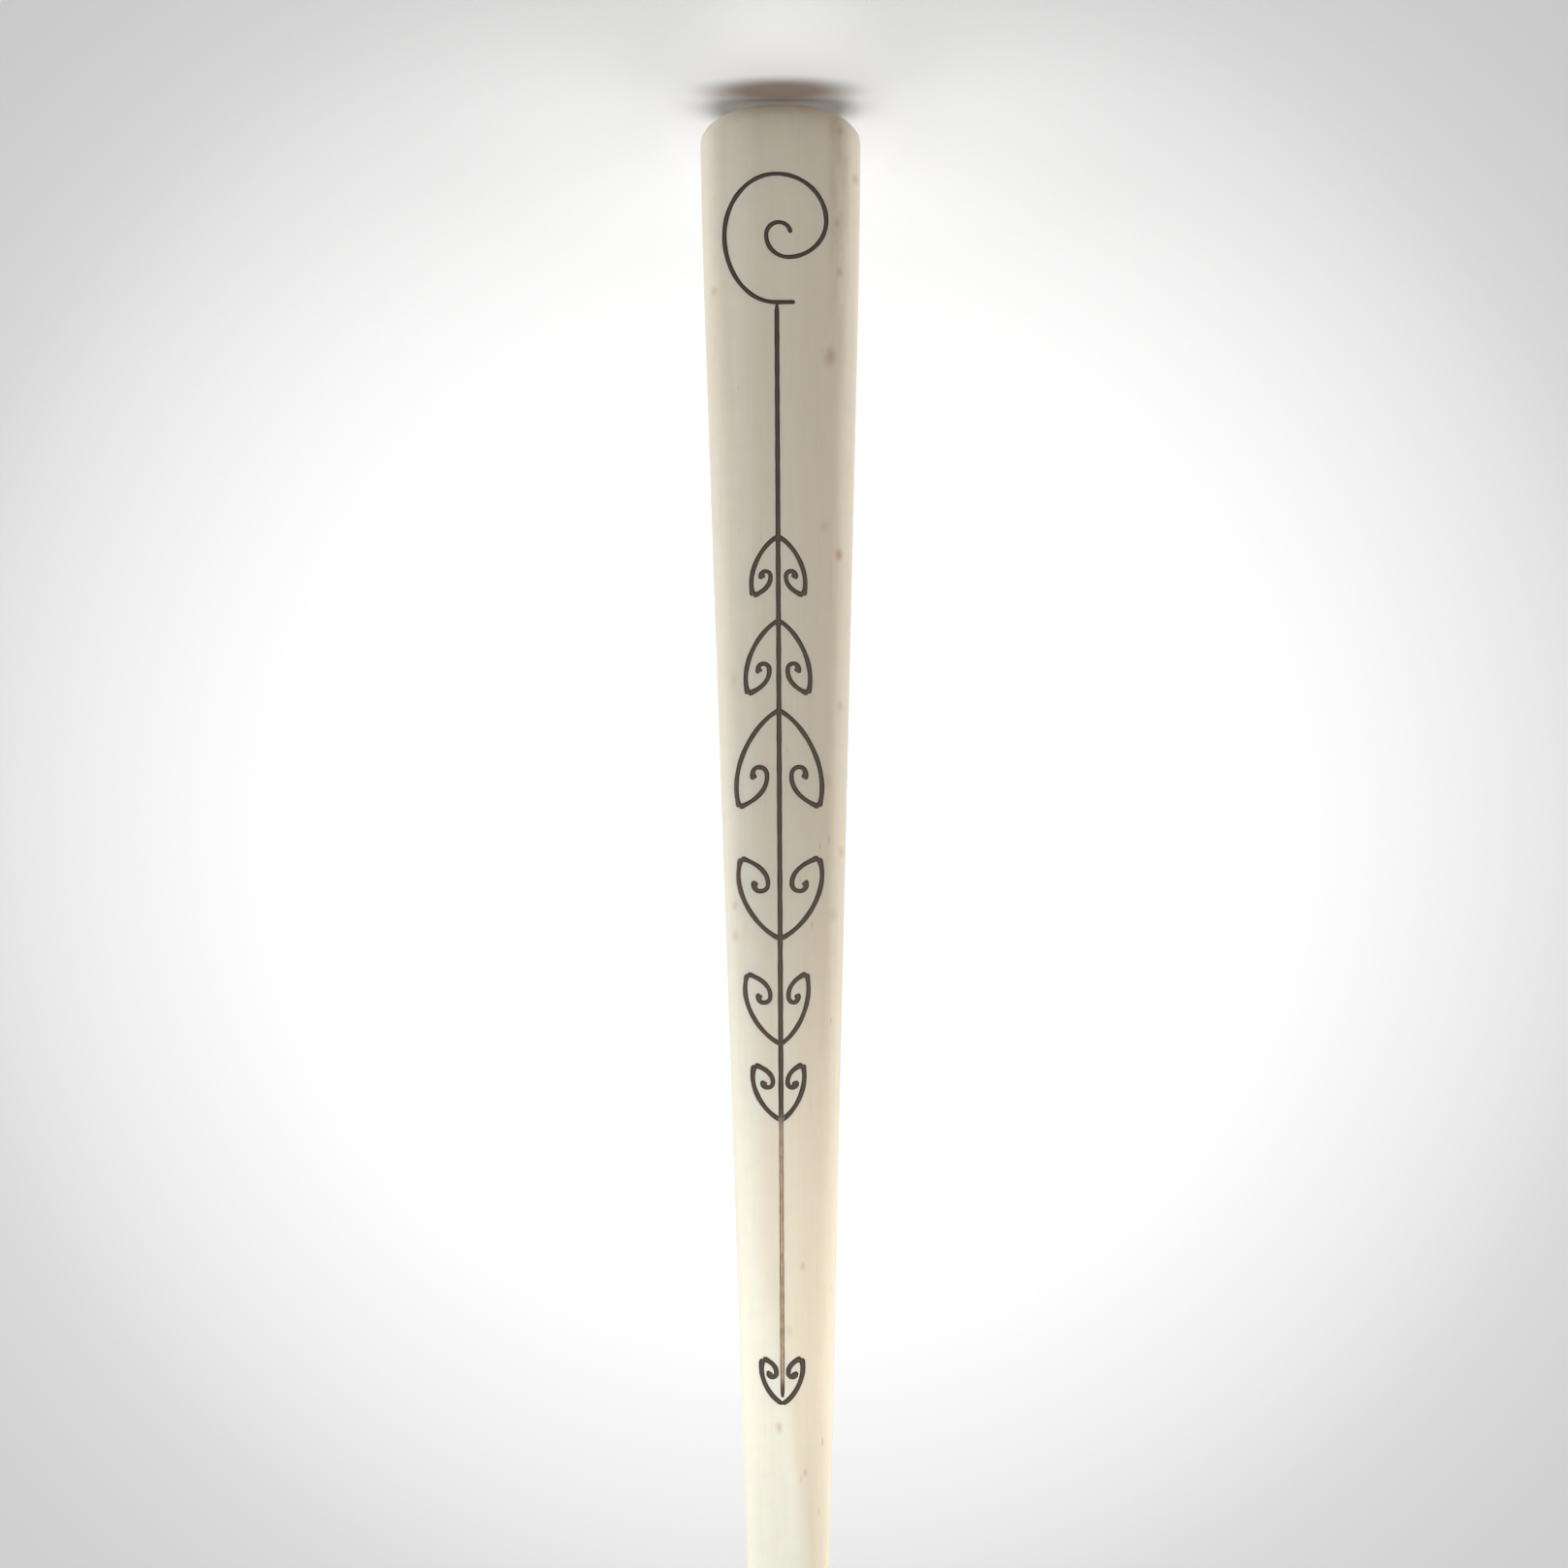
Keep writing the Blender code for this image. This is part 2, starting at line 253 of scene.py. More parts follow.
# Spot that lights only the paper in front of the head end: name, place, aim, cone, watts, radius
PAPER_SPOT = ("paper_spot", (0.0, -0.504, 0.233), (0.0, -0.004, 0.0), 0.05, 8.0, 0.004)
# Painted light: paper a little lighter around the head end, against the folder's soft cast shadow:
# distances, factor on the tone
NEAR_HEAD = (20.0 * MM, 45.0 * MM)
PAINTED_LIGHT_NEAR_HEAD_FACTOR = 1.04
# Painted shade: a darker paper tone under the paper spot, against its pool of light
PAINTED_SHADE_PLACE = (0.0, -4.0 * MM, 0.0)
PAINTED_SHADE_TONE = 0.65
PAINTED_SHADE_HALF_WIDTH = 13.8 * MM
PAINTED_SHADE_HALF_DEPTH = 32.6 * MM
# Painted shadow: a brown contact shadow painted on the paper right under the head end
PAINTED_SHADOW_PLACE = (0.0, -5.1 * MM, 0.0)
PAINTED_SHADOW_HALF_WIDTH = 10.0 * MM
PAINTED_SHADOW_HALF_DEPTH = 3.9 * MM
PAINTED_SHADOW_FADE = (0.33, 1.12)
PAINTED_SHADOW_TINT = (0.35, 0.275, 0.235)


# --- small helpers -----------------------------------------------------------------------

def settings():
    """The property group that holds every size and colour."""
    return bpy.context.scene.bone_folder


def deselect_everything():
    """Leave edit mode and select nothing."""
    if bpy.context.mode != "OBJECT":
        bpy.ops.object.mode_set(mode="OBJECT")
    bpy.ops.object.select_all(action="DESELECT")


def pick(obj):
    """Make one object the only selected and active one."""
    deselect_everything()
    obj.select_set(True)
    bpy.context.view_layer.objects.active = obj


def settle(obj):
    """Put an object's place, turn and scale into its mesh."""
    pick(obj)
    bpy.ops.object.transform_apply(location=True, rotation=True, scale=True)


def apply_modifier(obj, modifier):
    """Apply one modifier."""
    pick(obj)
    bpy.ops.object.modifier_apply(modifier=modifier.name)


def select_where(obj, test):
    """In edit mode, select the vertices that pass a test and nothing else."""
    shape = bmesh.from_edit_mesh(obj.data)
    for face in shape.faces:
        face.select = False
    for edge in shape.edges:
        edge.select = False
    for vertex in shape.verts:
        vertex.select = bool(test(vertex.co))
    shape.select_flush(True)
    bmesh.update_edit_mesh(obj.data)


def bisect_all(obj, point, normal):
    """In edit mode, cut the whole mesh along a plane without removing anything."""
    bpy.ops.mesh.select_all(action="SELECT")
    bpy.ops.mesh.bisect(plane_co=point, plane_no=normal)


def half_width_between(z):
    """Half width of the blade between its two rounded ends."""
    for (low_z, low_width), (high_z, high_width) in zip(SIDE_WIDTHS, SIDE_WIDTHS[1:]):
        if z <= high_z:
            share = (z - low_z) / (high_z - low_z)
            return low_width + (high_width - low_width) * share
    return SIDE_WIDTHS[-1][1]


def blade_stations(length, head_half_width):
    """Every height where the blade's width is set, with the half width there."""
    stations = []
    centre_z = HEAD_ROUND_HEIGHT - HEAD_LAND_CUT
    first_angle = math.asin(centre_z / HEAD_ROUND_HEIGHT)
    for step in range(HEAD_STATIONS + 1):
        angle = -first_angle * (1.0 - step / HEAD_STATIONS)
        z = centre_z + HEAD_ROUND_HEIGHT * math.sin(angle)
        stations.append((z, head_half_width * math.cos(angle)))
    tip_centre_z = length - TIP_ROUND_HEIGHT
    count = int((tip_centre_z - centre_z) / SIDE_STEP)
    for step in range(1, count):
        z = centre_z + (tip_centre_z - centre_z) * step / count
        stations.append((z, half_width_between(z)))
    for step in range(TIP_STATIONS):
        angle = TIP_END_ANGLE * step / TIP_STATIONS
        z = tip_centre_z + TIP_ROUND_HEIGHT * math.sin(angle)
        stations.append((z, TIP_ROUND_HALF_WIDTH * math.cos(angle)))
    stations.append((length, TIP_ROUND_HALF_WIDTH * math.cos(TIP_END_ANGLE)))
    return stations


# --- engraved lines ------------------------------------------------------------------------

def spaced(points, step):
    """The same line with its points an even step apart."""
    line = [points[0]]
    left = step
    for start, end in zip(points, points[1:]):
        span = (end - start).length
        while span > left:
            start = start + (end - start) * (left / span)
            line.append(start)
            span -= left
            left = step
        left -= span
    if (line[-1] - points[-1]).length > 0.3 * step:
        line.append(points[-1])
    return line


def curve_points(handles):
    """Points along a chain of cubic curves."""
    line = [Vector(handles[0][0])]
    for control in handles:
        line += interpolate_bezier(*[Vector(p) for p in control], CURVE_STEPS + 1)[1:]
    return line


def spiral_line():
    """Centre line of the spiral: quarter ellipses, then a short straight tail."""
    chain = []
    for index, (start, end) in enumerate(zip(SPIRAL_QUARTERS, SPIRAL_QUARTERS[1:])):
        start, end = Vector(start), Vector(end)
        across = Vector((end.x - start.x, 0.0)) * QUARTER_ARC_HANDLE
        along = Vector((0.0, end.y - start.y)) * QUARTER_ARC_HANDLE
        if index % 2 == 0:
            chain.append((start, start + along, end - across, end))
        else:
            chain.append((start, start + across, end - along, end))
    line = curve_points(chain)
    line.append(Vector((SPIRAL_TAIL_X, SPIRAL_QUARTERS[-1][1])))
    return spaced(line, POINT_STEP)


def leaf_lines(apex_z, tip_z, reach):
    """Outer and inner centre lines of one leaf."""
    height = tip_z - apex_z

    def placed(curves):
        return [[(STEM_X + a * reach, apex_z + b * height) for a, b in c] for c in curves]

    outer = spaced(curve_points(placed([LEAF_OUTER])), POINT_STEP)
    inner = spaced(curve_points(placed([LEAF_INNER, LEAF_CURL, LEAF_HOOK])), POINT_STEP)
    return outer, inner


def stroke_widths(count, step, seed, swells):
    """Width of a stroke at each point: rounded ends, swollen where the graver stopped."""
    dice = random.Random(seed)
    start_swell, end_swell = swells
    phase = dice.uniform(0.0, math.tau)
    widths = []
    for index in range(count):
        from_start = index * step
        from_end = (count - 1 - index) * step
        width = 1.0 + 0.05 * math.sin(phase + 1.9 * from_start / MM) + dice.uniform(-0.03, 0.03)
        width += start_swell * math.exp(-((from_start / SWELL_LENGTH) ** 2))
        width += end_swell * math.exp(-((from_end / SWELL_LENGTH) ** 2))
        nearest = min(from_start, from_end)
        if nearest < 0.5 * step:
            width *= END_RING_SHARE
        elif nearest < 1.5 * step:
            width *= NEXT_RING_SHARE
        widths.append(width)
    return widths


def stroke_body(name, line, widths, radius, stretch, depth, material):
    """A round stroke along a line, stretched in depth and laid on the engraved face."""
    deselect_everything()
    bpy.ops.curve.primitive_bezier_curve_add(location=(0.0, 0.0, 0.0))
    obj = bpy.context.object
    obj.name = name
    curve = obj.data
    curve.splines.clear()
    spline = curve.splines.new("POLY")
    spline.points.add(len(line) - 1)
    for point, place, width in zip(spline.points, line, widths):
        point.co = (place.x, 0.0, place.y, 1.0)
        point.radius = width
    curve.dimensions = "3D"
    curve.twist_mode = "MINIMUM"
    curve.bevel_depth = radius
    curve.bevel_resolution = STROKE_SIDES
    curve.use_fill_caps = True
    pick(obj)
    bpy.ops.object.convert(target="MESH")
    obj = bpy.context.object
    bpy.ops.object.mode_set(mode="EDIT")
    bpy.ops.mesh.select_all(action="SELECT")
    bpy.ops.mesh.remove_doubles(threshold=STROKE_WELD_DISTANCE)
    bpy.ops.mesh.normals_make_consistent(inside=False)
    bpy.ops.object.mode_set(mode="OBJECT")
    obj.scale = (1.0, stretch, 1.0)
    settle(obj)
    blade = settings().blade
    slope = (blade.head_half_thickness - blade.tip_half_thickness) / blade.length
    obj.rotation_euler = (-math.atan(slope), 0.0, 0.0)
    obj.location = (0.0, depth - blade.head_half_thickness, 0.0)
    settle(obj)
    obj.data.materials.clear()
    obj.data.materials.append(material)
    obj.data.name = name
    return obj


def join_bodies(first, second):
    """Weld two overlapping closed bodies into one and remove the second."""
    union = first.modifiers.new("join", "BOOLEAN")
    union.operation = "UNION"
    union.object = second
    union.solver = "EXACT"
    apply_modifier(first, union)
    bpy.data.objects.remove(second, do_unlink=True)


def cut_and_fill(name, node, lines, material, stain):
    """One engraved stroke: its graver cut, kept aside, and the pigment that lies in it."""
    engraving = settings().engraving
    radius = 0.5 * engraving.stroke_width
    fills = []
    for part, (line, widths) in enumerate(lines):
        fills.append(stroke_body(
            name, line, widths, radius * engraving.fill_share, engraving.fill_stretch,
            engraving.fill_depth, material,
        ))
        cut = stroke_body(
            f"cut_{name}_{part}", line, widths, radius, engraving.groove_stretch, 0.0, stain,
        )
        keep_aside(cut)
    fill = fills[0]
    for other in fills[1:]:
        join_bodies(fill, other)
    fill.name = name
    pick(fill)
    bpy.ops.object.shade_smooth()
    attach(fill, "root")
    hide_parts(node)
    return fill


def keep_aside(cut):
    """Move a graver cut into the hidden collection of cuts."""
    cuts = bpy.data.collections.get("graver_cuts")
    if cuts is None:
        cuts = bpy.data.collections.new("graver_cuts")
        bpy.context.scene.collection.children.link(cuts)
    for collection in list(cut.users_collection):
        collection.objects.unlink(cut)
    cuts.objects.link(cut)
    cut.hide_render = True


# --- materials -----------------------------------------------------------------------------

def place_node(tree, kind, **values):
    """Add a shader node and set its attributes and inputs by name."""
    node = tree.nodes.new(kind)
    for key, value in values.items():
        if hasattr(node, key):
            setattr(node, key, value)
        else:
            node.inputs[key.replace("_", " ")].default_value = value
    return node


def join(tree, source, target):
    """Link an output socket to an input socket."""
    tree.links.new(source, target)


def math_node(tree, operation, first, second=None, third=None):
    """A Math node fed by sockets or numbers."""
    node = tree.nodes.new("ShaderNodeMath")
    node.operation = operation
    for index, value in enumerate((first, second, third)):
        if value is None:
            continue
        if isinstance(value, (int, float)):
            node.inputs[index].default_value = value
        else:
            tree.links.new(value, node.inputs[index])
    return node.outputs[0]


def map_range(tree, value, from_min, from_max, to_min=0.0, to_max=1.0, smooth=False):
    """A clamped Map Range node."""
    node = tree.nodes.new("ShaderNodeMapRange")
    node.interpolation_type = "SMOOTHSTEP" if smooth else "LINEAR"
    tree.links.new(value, node.inputs["Value"])
    node.inputs["From Min"].default_value = from_min
    node.inputs["From Max"].default_value = from_max
    node.inputs["To Min"].default_value = to_min
    node.inputs["To Max"].default_value = to_max
    return node.outputs["Result"]


def mix_colour(tree, factor, first, second, blend="MIX"):
    """A colour Mix node fed by sockets or colours."""
    node = tree.nodes.new("ShaderNodeMix")
    node.data_type = "RGBA"
    node.blend_type = blend
    node.clamp_factor = True
    for socket, value in ((node.inputs[0], factor), (node.inputs[6], first), (node.inputs[7], second)):
        if isinstance(value, bpy.types.NodeSocket):
            tree.links.new(value, socket)
        elif isinstance(value, (int, float)):
            socket.default_value = value
        else:
            socket.default_value = (*value[:3], 1.0)
    return node.outputs[2]


def object_coordinates(tree):
    """The piece's own coordinates, in metres."""
    return tree.nodes.new("ShaderNodeTexCoord").outputs["Object"]


def stretched(tree, vector, scale, place=(0.0, 0.0, 0.0)):
    """Coordinates scaled by a Mapping node."""
    node = tree.nodes.new("ShaderNodeMapping")
    node.inputs["Scale"].default_value = scale
    node.inputs["Location"].default_value = place
    tree.links.new(vector, node.inputs["Vector"])
    return node.outputs["Vector"]


def noise(tree, vector, scale, detail=3.0, roughness=0.5):
    """Noise factor at stretched coordinates."""
    node = place_node(tree, "ShaderNodeTexNoise", Scale=scale, Detail=detail, Roughness=roughness)
    tree.links.new(vector, node.inputs["Vector"])
    return node.outputs["Fac"]


def new_group(name, inputs, outputs):
    """An empty shader node group with named sockets."""
    group = bpy.data.node_groups.new(name, "ShaderNodeTree")
    for socket_name, kind, default in inputs:
        socket = group.interface.new_socket(name=socket_name, in_out="INPUT", socket_type=kind)
        if default is not None:
            socket.default_value = default
    for socket_name, kind in outputs:
        group.interface.new_socket(name=socket_name, in_out="OUTPUT", socket_type=kind)
    return group, group.nodes.new("NodeGroupInput"), group.nodes.new("NodeGroupOutput")


def long_grain_group():
    """Streaks that run along the blade: broad cloudy bands and fine fibres."""
    name = "long_grain"
    if name in bpy.data.node_groups:
        return bpy.data.node_groups[name]
    group, enter, leave = new_group(
        name,
        [("Vector", "NodeSocketVector", None), ("Spread", "NodeSocketFloat", 1.0)],
        [("Bands", "NodeSocketFloat"), ("Fibres", "NodeSocketFloat"), ("Mottle", "NodeSocketFloat")],
    )
    spread = place_node(group, "ShaderNodeVectorMath", operation="SCALE")
    join(group, enter.outputs["Vector"], spread.inputs[0])
    join(group, enter.outputs["Spread"], spread.inputs["Scale"])
    base = spread.outputs[0]
    bands = noise(group, stretched(group, base, BAND_GRAIN), 1.0, 4.0, 0.55)
    fibres = noise(group, stretched(group, base, FIBRE_GRAIN), 1.0, 3.0, 0.6)
    mottle = noise(group, base, MOTTLE_GRAIN, 5.0, 0.6)
    join(group, bands, leave.inputs["Bands"])
    join(group, fibres, leave.inputs["Fibres"])
    join(group, mottle, leave.inputs["Mottle"])
    return group


def use_group(tree, group, vector, **values):
    """Place a node group and feed its coordinates."""
    node = tree.nodes.new("ShaderNodeGroup")
    node.node_tree = group
    tree.links.new(vector, node.inputs["Vector"])
    for key, value in values.items():
        node.inputs[key].default_value = value
    return node


def fresh_material(name):
    """A material with only a Principled BSDF and an output."""
    material = bpy.data.materials.new(name)
    material.use_nodes = True
    tree = material.node_tree
    return material, tree, tree.nodes["Principled BSDF"]


def bump(tree, shader, height, strength, distance):
    """Feed a height into the shader's normal through a Bump node."""
    node = place_node(tree, "ShaderNodeBump", Strength=strength, Distance=distance)
    join(tree, height, node.inputs["Height"])
    join(tree, node.outputs["Normal"], shader.inputs["Normal"])


def marks_mask(tree, coordinates, mottle):
    """A mask of the small reddish marks."""
    flat = stretched(tree, coordinates, (1.0, 0.0, MARK_FLATTENING))
    total = None
    for x, z, radius, strength in BONE_MARKS:
        far = place_node(tree, "ShaderNodeVectorMath", operation="DISTANCE")
        join(tree, flat, far.inputs[0])
        far.inputs[1].default_value = (x, 0.0, MARK_FLATTENING * z)
        ragged = math_node(tree, "MULTIPLY_ADD", mottle, -1.1 * radius, far.outputs["Value"])
        mark = map_range(tree, ragged, -0.90 * radius, 0.95 * radius, strength, 0.0, True)
        total = mark if total is None else math_node(tree, "MAXIMUM", total, mark)
    return total


def faded(tree, mask, share):
    """A mask at a share of its strength."""
    return math_node(tree, "MULTIPLY", mask, share)


def bone_tone(tree, across, along, bands):
    """Cream bone, rosy on one side, with painted light: a paler long edge that spreads near the tip, and a
    lighter strip on the other long edge.
    """
    blade = settings().blade
    # place across the blade: -1 on one long edge, +1 on the other
    half_width = math_node(tree, "MULTIPLY_ADD", along, -BLADE_NARROWING, BLADE_HIGH.x)
    side = math_node(tree, "DIVIDE", across, half_width)
    wander = math_node(tree, "MULTIPLY_ADD", bands, 0.4, -0.20)
    side = math_node(tree, "ADD", side, wander)
    # painted light: a paler long edge, spreading inward across the face towards the tip
    painted_light_spread = map_range(tree, along, *PAINTED_LIGHT_SPREAD_HEIGHTS, 0.0, 0.95, True)

    towards_tip = map_range(tree, along, *TIP_TONE_HEIGHTS, smooth=True)
    colour = mix_colour(tree, towards_tip, blade.head_colour, blade.tip_colour)
    pale = map_range(tree, math_node(tree, "ADD", side, painted_light_spread), 0.24, 0.68, smooth=True)
    painted_light_tone = mix_colour(tree, towards_tip, blade.painted_light_edge_colour, blade.painted_light_tip_edge_colour)
    colour = mix_colour(tree, pale, colour, painted_light_tone)
    rosy = faded(tree, map_range(tree, side, -0.02, -0.42, smooth=True), ROSY_SHARE)
    colour = mix_colour(tree, rosy, colour, blade.rosy_colour, "MULTIPLY")
    # painted light: a lighter outermost strip on the other long edge
    painted_light_other_edge = map_range(tree, side, -0.68, -0.95, smooth=True)
    painted_light_other_edge = faded(tree, painted_light_other_edge, PAINTED_LIGHT_OTHER_EDGE_SHARE)
    return mix_colour(tree, painted_light_other_edge, colour, blade.painted_light_edge_colour)


def vein_mask(tree, coordinates, across, along):
    """A mask of the reddish vein beside the long edge, strongest near the head."""
    aside = math_node(tree, "ABSOLUTE", math_node(tree, "ADD", across, VEIN_PLACE))
    beside = map_range(tree, aside, *VEIN_HALF_WIDTHS, 1.0, 0.0, True)
    near_head = map_range(tree, along, *VEIN_HEIGHTS, smooth=True)
    veins = noise(tree, stretched(tree, coordinates, VEIN_GRAIN, (3.0, 0.0, 1.7)), 1.0, 4.0, 0.6)
    veins = map_range(tree, veins, 0.40, 0.68, smooth=True)
    strength = math_node(tree, "MULTIPLY_ADD", veins, 0.34, 0.12)
    return math_node(tree, "MULTIPLY", math_node(tree, "MULTIPLY", beside, near_head), strength)


def pores_mask(tree, coordinates):
    """A mask of the pores: short dashes, thinly scattered in patches."""
    cells = place_node(tree, "ShaderNodeTexVoronoi", feature="F1", Scale=1.0, Randomness=1.0)
    join(tree, stretched(tree, coordinates, PORE_GRAIN), cells.inputs["Vector"])
    pores = map_range(tree, cells.outputs["Distance"], 0.05, 0.13, 1.0, 0.0)
    where = noise(tree, stretched(tree, coordinates, PORE_PATCHES, (7.0, 2.0, 4.0)), 1.0, 2.0)
    return math_node(tree, "MULTIPLY", pores, map_range(tree, where, 0.5, 0.68))


def bone_material():
    """Polished bone: cream, faint long grain, pores, a reddish vein and small marks, with painted shade at
    both ends.
    """
    blade = settings().blade
    material, tree, shader = fresh_material("polished_bone")
    coordinates = object_coordinates(tree)
    grain = use_group(tree, long_grain_group(), coordinates, Spread=1.0)
    parts = tree.nodes.new("ShaderNodeSeparateXYZ")
    join(tree, coordinates, parts.inputs[0])
    across, along = parts.outputs["X"], parts.outputs["Z"]

    colour = bone_tone(tree, across, along, grain.outputs["Bands"])
    bands = map_range(tree, grain.outputs["Bands"], 0.35, 0.68)
    colour = mix_colour(tree, faded(tree, bands, BAND_SHARE), colour, blade.band_colour)
    mottle = map_range(tree, grain.outputs["Mottle"], 0.38, 0.66)
    colour = mix_colour(tree, faded(tree, mottle, MOTTLE_SHARE), colour, blade.mottle_colour)
    fibres = map_range(tree, grain.outputs["Fibres"], 0.52, 0.72)
    colour = mix_colour(tree, faded(tree, fibres, FIBRE_SHARE), colour, blade.fibre_colour)
    vein = vein_mask(tree, coordinates, across, along)
    colour = mix_colour(tree, vein, colour, blade.vein_colour)
    marks = marks_mask(tree, coordinates, grain.outputs["Mottle"])
    colour = mix_colour(tree, marks, colour, blade.mark_colour)

    # painted shade: a little greyer at both ends
    at_head = map_range(tree, along, *HEAD_PAINTED_SHADE_HEIGHTS, smooth=True)
    at_tip = map_range(tree, along, *TIP_PAINTED_SHADE_HEIGHTS, smooth=True)
    ends = math_node(tree, "MAXIMUM", at_head, at_tip)
    colour = mix_colour(tree, ends, colour, blade.painted_shade_end_tint, "MULTIPLY")
    pores = pores_mask(tree, coordinates)
    colour = mix_colour(tree, faded(tree, pores, PORE_SHARE), colour, blade.pore_colour)
    join(tree, colour, shader.inputs["Base Color"])

    rough = math_node(tree, "MULTIPLY_ADD", grain.outputs["Mottle"], 0.16, 0.33)
    rough = math_node(tree, "MULTIPLY_ADD", fibres, 0.06, rough)
    join(tree, rough, shader.inputs["Roughness"])
    height = math_node(tree, "MULTIPLY_ADD", grain.outputs["Bands"], 2.5, grain.outputs["Fibres"])
    height = math_node(tree, "MULTIPLY_ADD", pores, -1.2, height)
    bump(tree, shader, height, 0.35, 0.012 * MM)
    shader.inputs["IOR"].default_value = 1.54
    shader.inputs["Specular IOR Level"].default_value = 0.45
    shader.inputs["Subsurface Weight"].default_value = 0.30
    shader.inputs["Subsurface Scale"].default_value = 2.2 * MM
    shader.inputs["Subsurface Radius"].default_value = (1.0, 0.62, 0.38)
    return material


def stem_wear(tree, across, along):
    """A mask of the thin stretch of the stem near the tip."""
    worn = map_range(tree, along, *WORN_HEIGHTS, smooth=True)
    not_end = map_range(tree, along, *WORN_END_HEIGHTS, smooth=True)
    off_stem = math_node(tree, "ABSOLUTE", math_node(tree, "SUBTRACT", across, STEM_X))
    on_stem = map_range(tree, off_stem, *WORN_HALF_WIDTHS)
    return math_node(tree, "MULTIPLY", math_node(tree, "MULTIPLY", worn, not_end), on_stem)


def pigment_material(name, lift):
    """Dried dark pigment, mottled, worn thin to tan on the stem near the tip."""
    engraving = settings().engraving
    material, tree, shader = fresh_material(name)
    coordinates = object_coordinates(tree)
    grain = use_group(tree, long_grain_group(), coordinates, Spread=2.4)
    parts = tree.nodes.new("ShaderNodeSeparateXYZ")
    join(tree, coordinates, parts.inputs[0])
    along = parts.outputs["Z"]
    worn = stem_wear(tree, parts.outputs["X"], along)
    middle = map_range(tree, along, *MIDDLE_START_HEIGHTS, smooth=True)
    middle_end = map_range(tree, along, *MIDDLE_END_HEIGHTS, smooth=True)
    middle = math_node(tree, "MULTIPLY", middle, middle_end)
    colour = mix_colour(tree, middle, engraving.pigment_colour, engraving.middle_colour)
    patches = map_range(tree, grain.outputs["Mottle"], 0.35, 0.62)
    unbroken = math_node(tree, "MULTIPLY_ADD", patches, -0.35, 1.0)
    worn = math_node(tree, "MULTIPLY", worn, unbroken)
    colour = mix_colour(tree, worn, colour, engraving.worn_colour)
    colour = mix_colour(tree, faded(tree, patches, PATCH_SHARE), colour, lift, "ADD")
    join(tree, colour, shader.inputs["Base Color"])
    join(tree, math_node(tree, "MULTIPLY_ADD", patches, 0.2, 0.55), shader.inputs["Roughness"])
    bump(tree, shader, grain.outputs["Mottle"], 0.5, 0.02 * MM)
    return material


def pigment():
    """The pigment of the strokes."""
    name = "rubbed_pigment"
    return bpy.data.materials.get(name) or pigment_material(name, PIGMENT_LIFT)


def stain():
    """The stained walls of the cuts."""
    name = "stained_cut"
    return bpy.data.materials.get(name) or pigment_material(name, STAIN_LIFT)


# --- settings ------------------------------------------------------------------------------

def length_property(name, description, default):
    """A length in metres that the user may change."""
    return bpy.props.FloatProperty(
        name=name, description=description, default=default, min=0.0, unit="LENGTH", precision=5,
    )


def colour_property(name, description, default):
    """A linear colour that the user may change."""
    return bpy.props.FloatVectorProperty(
        name=name, description=description, default=default, size=3, min=0.0, max=1.0,
        subtype="COLOR",
    )


def plain_property(name, description, default):
    """A plain number that the user may change."""
    return bpy.props.FloatProperty(name=name, description=description, default=default)


class BladeSettings(bpy.types.PropertyGroup):
    """Sizes and colours of the bone blade"""
    length: length_property("Length", "From the head end to the tip", BLADE_HIGH.z)
    head_half_width: length_property("Head half width", "Half the width at the head", BLADE_HIGH.x)
    head_half_thickness: length_property("Head half thickness", "Half the thickness at the head", 3.5 * MM)
    tip_half_thickness: length_property("Tip half thickness", "Half the thickness at the tip", 1.6 * MM)
    edge_rounding: length_property("Edge rounding", "Width of the rounded long edges", 2.4 * MM)
    head_colour: colour_property("Head colour", "Bone near the head", (0.78, 0.70, 0.565))
    tip_colour: colour_property("Tip colour", "Bone near the tip", (0.86, 0.785, 0.635))
    # painted light on one long edge, near the head and near the tip
    painted_light_edge_colour: colour_property("Pale colour", "Paler long edge near the head", (0.92, 0.855, 0.725))
    painted_light_tip_edge_colour: colour_property("Bleached colour", "Paler long edge near the tip", (0.92, 0.92, 0.80))
    rosy_colour: colour_property("Rosy colour", "Tint of the opposite half", (0.92, 0.88, 0.85))
    band_colour: colour_property("Band colour", "Darker growth bands", (0.72, 0.63, 0.51))
    mottle_colour: colour_property("Mottle colour", "Faint cloudy mottling", (0.60, 0.55, 0.47))
    fibre_colour: colour_property("Fibre colour", "Fine long fibres", (0.45, 0.36, 0.26))
    vein_colour: colour_property("Vein colour", "Reddish vein near the head", (0.42, 0.25, 0.17))
    mark_colour: colour_property("Mark colour", "Small reddish marks", (0.44, 0.20, 0.12))
    # painted shade at both ends of the blade
    painted_shade_end_tint: colour_property("End tint", "Tint of the two ends", (0.89, 0.90, 0.91))
    pore_colour: colour_property("Pore colour", "Small open pores", (0.30, 0.20, 0.13))


class EngravingSettings(bpy.types.PropertyGroup):
    """Sizes and colours of the cuts and their pigment"""
    stroke_width: length_property("Stroke width", "Width of a graver cut", 0.53 * MM)
    fill_share: plain_property("Fill share", "Pigment width as a share of the cut", 0.97)
    fill_stretch: plain_property("Fill stretch", "Pigment depth as a share of its width", 0.80)
    fill_depth: length_property("Fill depth", "Depth of the pigment's middle", 0.25 * MM)
    groove_stretch: plain_property("Groove stretch", "Cut depth as a share of half its width", 1.7)
    pigment_colour: colour_property("Pigment colour", "Pigment near the head", (0.080, 0.052, 0.042))
    middle_colour: colour_property("Middle colour", "Pigment on the middle", (0.120, 0.085, 0.064))
    worn_colour: colour_property("Worn colour", "Worn pigment on the lower stem", (0.52, 0.40, 0.27))


